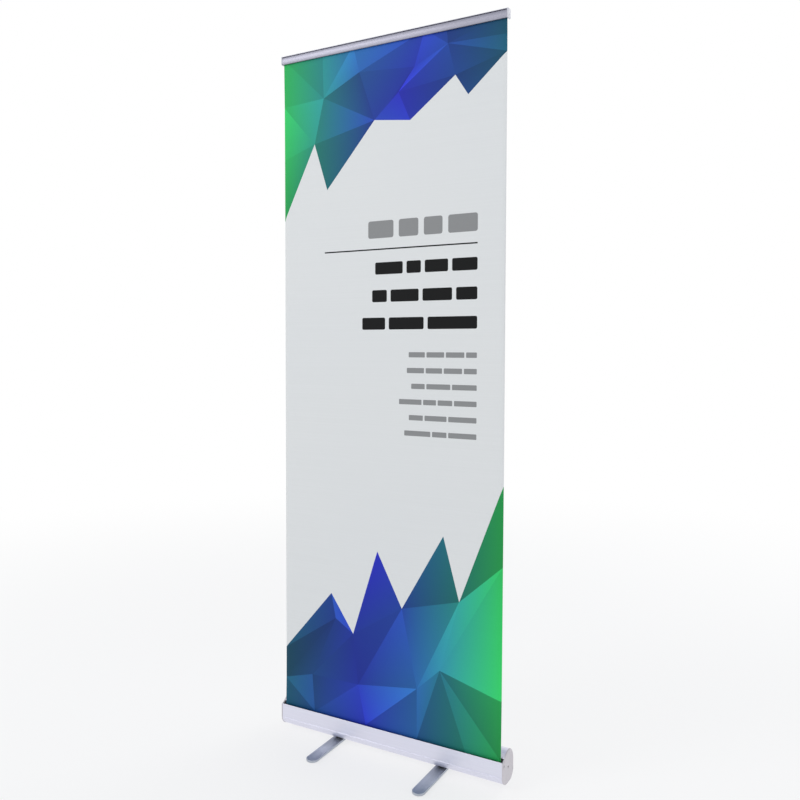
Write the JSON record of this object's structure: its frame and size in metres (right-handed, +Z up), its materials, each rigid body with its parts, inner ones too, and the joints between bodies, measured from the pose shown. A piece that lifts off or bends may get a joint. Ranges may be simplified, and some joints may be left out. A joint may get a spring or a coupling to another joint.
{
  "type": "roll-up banner stand",
  "caption": "Roll-up banner stand: printed banner pulled from a sprung roller in an aluminium cassette with swinging feet, clamped in a top rail and held up by a rear pole.",
  "frame": {"origin": "on the floor, midway between the two feet, at the centre of the whole stand's footprint", "axes": "+X along the cassette to the viewer's right, -Y is the front that the print faces, +Z up"},
  "size_m": [0.753, 0.342, 2.1076],
  "materials": {
    "anodised_aluminium": "satin silver anodised extrusion",
    "rail_aluminium": "satin silver anodised extrusion",
    "foot_aluminium": "brushed flat bar, slightly bluish",
    "cap_plastic": "warm light grey moulding, fine texture",
    "black_plastic": "black moulding",
    "grey_plastic": "dark grey moulding",
    "steel": "zinc plated",
    "spring_steel": "oiled spring wire",
    "rubber": "matt black",
    "banner_film": "satin print film, pale grey with a faceted pattern in blues and greens",
    "mounting_tape": "double-sided tape",
    "elastic": "braided elastic cord"
  },
  "bodies": {
    "base": {"cassette_shell": "anodised_aluminium", "spring_spindle": "steel", "idle_axle_pin": "steel", "spindle_collar": "steel", "pole_socket": "grey_plastic", "banner_feed": "banner_film", "banner_panel": "banner_film", "end_cap_left": "cap_plastic", "end_cap_right": "cap_plastic", "axle_bracket_left": "black_plastic", "axle_bracket_right": "black_plastic", "end_cap_screw_left_front": "steel", "end_cap_screw_left_rear": "steel", "end_cap_screw_right_front": "steel", "end_cap_screw_right_rear": "steel", "socket_screw_left": "steel", "socket_screw_right": "steel", "foot_bolt_left": "steel", "foot_bolt_right": "steel", "foot_spacer_left": "black_plastic", "foot_spacer_right": "black_plastic", "foot_plate_left": "steel", "foot_plate_right": "steel", "foot_nut_left": "steel", "foot_nut_right": "steel"},
    "foot_left": {"foot_left": "foot_aluminium", "foot_pad_left_front": "rubber", "foot_pad_left_rear": "rubber"},
    "foot_right": {"foot_right": "foot_aluminium", "foot_pad_right_front": "rubber", "foot_pad_right_rear": "rubber"},
    "roller": {"roller_tube": "anodised_aluminium", "idle_end_plug": "grey_plastic", "spring_end_plug": "grey_plastic", "spring_anchor_plug": "grey_plastic", "winding_spring": "spring_steel", "roller_tape": "mounting_tape", "banner_roll": "banner_film"},
    "pole": {"pole_tube_lower": "anodised_aluminium", "pole_tube_middle": "anodised_aluminium", "pole_tube_upper": "anodised_aluminium", "pole_ferrule_lower": "grey_plastic", "pole_ferrule_upper": "grey_plastic", "pole_foot_plug": "black_plastic", "pole_shock_cord": "elastic", "pole_head": "black_plastic"},
    "rail": {"rail_profile": "rail_aluminium", "rail_end_cap_left": "cap_plastic", "rail_end_cap_right": "cap_plastic"},
    "clamp": {"rail_clamp": "rail_aluminium", "rail_clamp_grip": "rubber"}
  },
  "joints": [
    {"name": "foot_left_swing", "type": "hinge", "parent": "base", "child": "foot_left", "pos_m": [-0.176, 0, 0.0055], "axis": [0, 0, 1], "range_deg": [0, 90]},
    {"name": "foot_right_swing", "type": "hinge", "parent": "base", "child": "foot_right", "pos_m": [0.176, 0, 0.0055], "axis": [0, 0, -1], "range_deg": [0, 90]},
    {"name": "rail_slide", "type": "slide", "parent": "base", "child": "rail", "axis": [0, 0, 1], "range_m": [-1.985, 0], "deforming": ["banner_panel"]},
    {"name": "roller_spin", "type": "hinge", "parent": "base", "child": "roller", "pos_m": [0, -0.002, 0.058], "axis": [1, 0, 0], "range_deg": [0, 6030]},
    {"name": "clamp_open", "type": "hinge", "parent": "rail", "child": "clamp", "pos_m": [0, -0.0332, 2.1026], "axis": [-1, 0, 0], "range_deg": [0, 50]},
    {"name": "pole_turn", "type": "hinge", "parent": "base", "child": "pole", "pos_m": [0, 0.05, 0.026], "axis": [0, -0.029, 0.9996], "continuous": true}
  ],
  "couplings": [
    {"joint": "roller_spin", "follows": "rail_slide", "rad_per_m": -53}
  ]
}
